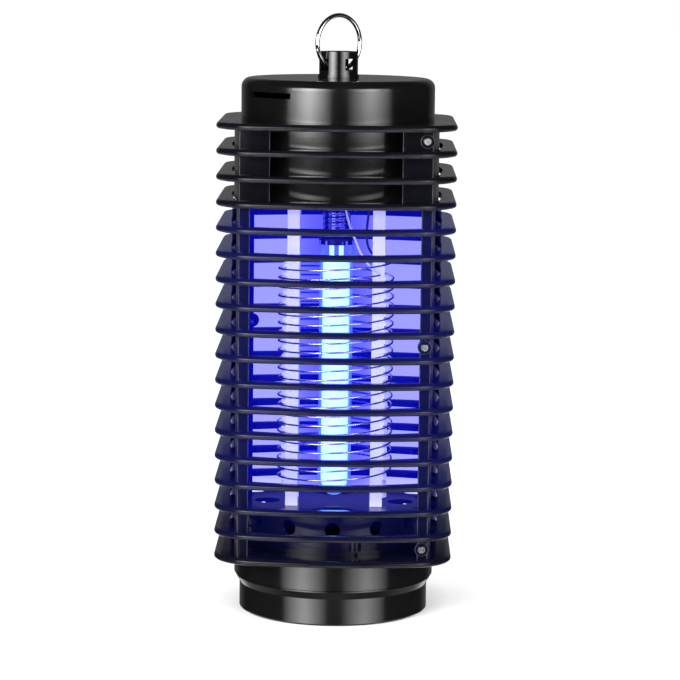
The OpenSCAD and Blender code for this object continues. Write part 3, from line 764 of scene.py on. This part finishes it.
def air(name, outline, low, high, absorbs, blocks, glows):
    """A body of air that tints what is seen through it and faintly glows: painted lamplight in the cage. It
    isn't part of the object.
    """
    mesh = bpy.data.meshes.new(name)
    count = len(outline)
    points = [(x, y, z) for z in (low, high) for x, y in outline]
    faces = [tuple(range(count))[::-1], tuple(range(count, 2 * count))]
    faces += [(k, (k + 1) % count, (k + 1) % count + count, k + count) for k in range(count)]
    mesh.from_pydata(points, [], faces)
    made = bpy.data.objects.new(name, mesh)
    bpy.context.scene.collection.objects.link(made)
    material = bpy.data.materials.new(name)
    material.use_nodes = True
    tree = material.node_tree
    tree.nodes.remove(tree.nodes["Principled BSDF"])
    filters = add(tree, "ShaderNodeVolumeAbsorption", Color=(*absorbs, 1), Density=blocks)
    shines = add(tree, "ShaderNodeEmission", Color=(*glows, 1), Strength=1.0)
    both = tree.nodes.new("ShaderNodeAddShader")
    tree.links.new(filters.outputs[0], both.inputs[0])
    tree.links.new(shines.outputs[0], both.inputs[1])
    tree.links.new(both.outputs[0], tree.nodes["Material Output"].inputs["Volume"])
    mesh.materials.append(material)


def ring_outline(radius, steps=48):
    """Points of a circle about the lamp."""
    angles = 2 * np.pi * np.arange(steps) / steps
    return np.column_stack([radius * np.cos(angles), radius * np.sin(angles)]).tolist()


# The side bodies fill the windows at the left and right, where the line of sight grazes the wall, and darken
# what is seen there to a deep blue: painted shade with a faint painted glow
inside = wall_t + 0.6 * mm
lit_z = 54 * mm
lamp_air_r = 19 * mm
side_gap = 0.1 * mm
depths = np.linspace(-1, 1, 13) * (wall_depth - inside)
cage_air = [(wall_side(y, inside), y) for y in depths] + [(-wall_side(y, inside), y) for y in depths[::-1]]
air("cage_air", cage_air, lit_z, housing_z - mm, (0, 0, 0.92), 14.0, (0.03, 0.03, 3.5))
air("lamp_air", ring_outline(lamp_air_r), lit_z + mm, housing_z - mm, (0, 0, 0.97), 30.0, (0.05, 0.1, 2.5))

for side in (-1, 1):
    outer = [(side * (wall_side(y) - side_gap), y) for y in depths]
    inner = [(side * (wall_side(y, inside) + side_gap), y) for y in depths]
    around = outer + inner[::-1] if side > 0 else outer[::-1] + inner
    air(f"side_air_{side + 1}", around, plate_top_z + mm, housing_z - mm, (0, 0, 0.3), 80.0, (0.0, 0.0, 0.5))

# ---- Floor, lights and world ----

floor_half = 8.0
floor_mesh = bpy.data.meshes.new("floor")
corners = [(x * floor_half, y * floor_half, 0) for x, y in ((-1, -1), (1, -1), (1, 1), (-1, 1))]
floor_mesh.from_pydata(corners, [], [(0, 1, 2, 3)])
floor = bpy.data.objects.new("floor", floor_mesh)
bpy.context.scene.collection.objects.link(floor)
floor_finish = bpy.data.materials.new("floor")
floor_finish.use_nodes = True
floor_shader = shader_of(floor_finish)
floor_shader.inputs["Base Color"].default_value = (0.9, 0.9, 0.9, 1)
floor_shader.inputs["Roughness"].default_value = 0.9
floor_shader.inputs["Specular IOR Level"].default_value = 0.0
floor_mesh.materials.append(floor_finish)
floor.visible_glossy = False
floor.visible_shadow = False

# The camera and diffuse rays see an even white. Glossy rays see a dark room with a bright strip of table
# low down at the front and back, and a faint light behind.
world = bpy.data.worlds.new("studio")
bpy.context.scene.world = world
world.use_nodes = True
sky = world.node_tree
back = sky.nodes["Background"]
ray = add(sky, "ShaderNodeLightPath")
way = add(sky, "ShaderNodeTexCoord").outputs["Generated"]
split = add(sky, "ShaderNodeSeparateXYZ", Vector=way)
rise, depth = split.outputs["Z"], split.outputs["Y"]
side = maths(sky, "ABSOLUTE", split.outputs["X"])
table = ramp(sky, rise, -0.42, -0.28, 1.8, 0.0)
table = maths(sky, "MULTIPLY", table, ramp(sky, rise, -0.9, -0.72, 0.1, 1.0))
table = maths(sky, "MULTIPLY", table, ramp(sky, side, 0.2, 0.5, 1.0, 0.15))
behind = ramp(sky, depth, 0.7, 0.97, 0.0, 0.16)
dim = maths(sky, "ADD", maths(sky, "ADD", table, behind), 0.012)
seen = blend_colour(sky, ray.outputs["Is Diffuse Ray"], (1.0, 1.0, 1.0), (1.15, 1.15, 1.17))
mirror = add(sky, "ShaderNodeCombineXYZ", X=dim, Y=dim, Z=dim).outputs[0]
sky.links.new(blend_colour(sky, ray.outputs["Is Glossy Ray"], seen, mirror), back.inputs["Color"])


# Each soft box is a stack of narrower and narrower ones
box_distance = 1.2
box_steps = 5


def soft_box(name, azimuth, half_spread, low, high, radiance):
    """A tall soft box that fades towards its sides.

    Azimuth 0 is in front of the object, and positive to its right, in degrees.
    """
    turn = math.radians(azimuth)
    for step in range(box_steps):
        distance = box_distance + 0.01 * step
        light = bpy.data.lights.new(f"{name}_{step}", "AREA")
        light.shape = "RECTANGLE"
        light.size = 2 * distance * math.tan(math.radians(half_spread * (1 - step / box_steps)))
        light.size_y = high - low
        light.energy = radiance / box_steps * math.pi * light.size * light.size_y
        made = bpy.data.objects.new(f"{name}_{step}", light)
        made.location = (distance * math.sin(turn), -distance * math.cos(turn), (low + high) / 2)
        made.rotation_euler = (math.pi / 2, 0, turn)
        made.visible_camera = False
        bpy.context.scene.collection.objects.link(made)


soft_box("box_left_high", -34, 26, 0.16, 0.8, 18.0)
soft_box("box_right_high", 39, 26, 0.16, 0.8, 10.0)
soft_box("box_left_low", -34, 26, -0.85, -0.2, 7.5)
soft_box("box_right_low", 39, 26, -0.85, -0.2, 5.5)
